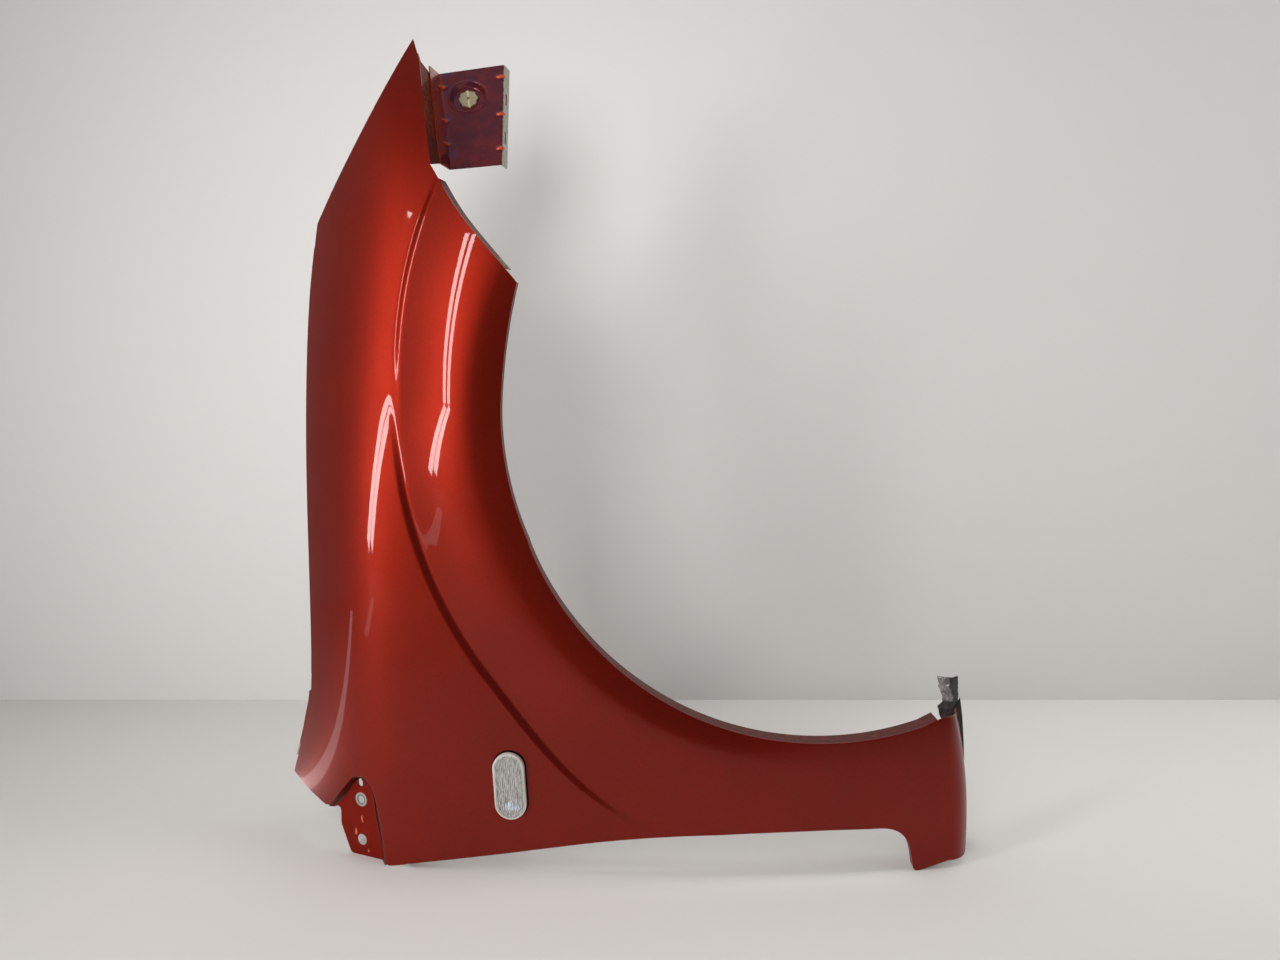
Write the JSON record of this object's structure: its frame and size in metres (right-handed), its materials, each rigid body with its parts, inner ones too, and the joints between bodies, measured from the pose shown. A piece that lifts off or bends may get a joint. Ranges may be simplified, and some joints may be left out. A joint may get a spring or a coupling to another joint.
{
  "type": "car fender",
  "caption": "Right front fender of a small hatchback: flared wheel arch, bonnet flange, bumper bracket, recessed pillar tab, sill foot and oval side repeater lamp, standing upright.",
  "frame": {"origin": "Middle of the underside of the whole fender's bounding box, on the ground it stands on", "axes": "+Z runs forward along the car, from the door edge the fender stands on up to its front tip. +X runs down the car, from the bonnet edge to the sill. +Y runs inboard, so the painted side faces -Y."},
  "size_m": [0.7744, 0.2168, 0.895],
  "materials": {
    "body_paint": "metallic copper red under clear coat, glossy",
    "bracket_paint": "thin dull maroon overspray on coated steel, with bare streaks",
    "sill_coating": "rough dark stone-chip coating, dusty",
    "natural_nylon": "unpigmented nylon, yellowish and satin",
    "clear_lens": "clear moulded plastic lens with fine ribs",
    "lamp_plastic": "silvery reflector plastic",
    "seal_rubber": "black foam rubber",
    "holder_plastic": "black heat-resistant plastic",
    "bulb_glass": "amber wedge bulb glass"
  },
  "bodies": {
    "root": {"fender_panel": "body_paint", "bumper_bracket": "bracket_paint", "bracket_grommet": "natural_nylon", "sill_bracket": "sill_coating", "repeater_gasket": "seal_rubber", "repeater_lens": "clear_lens", "repeater_housing": "lamp_plastic", "repeater_bulb_holder": "holder_plastic", "repeater_bulb": "bulb_glass"}
  },
  "joints": []
}
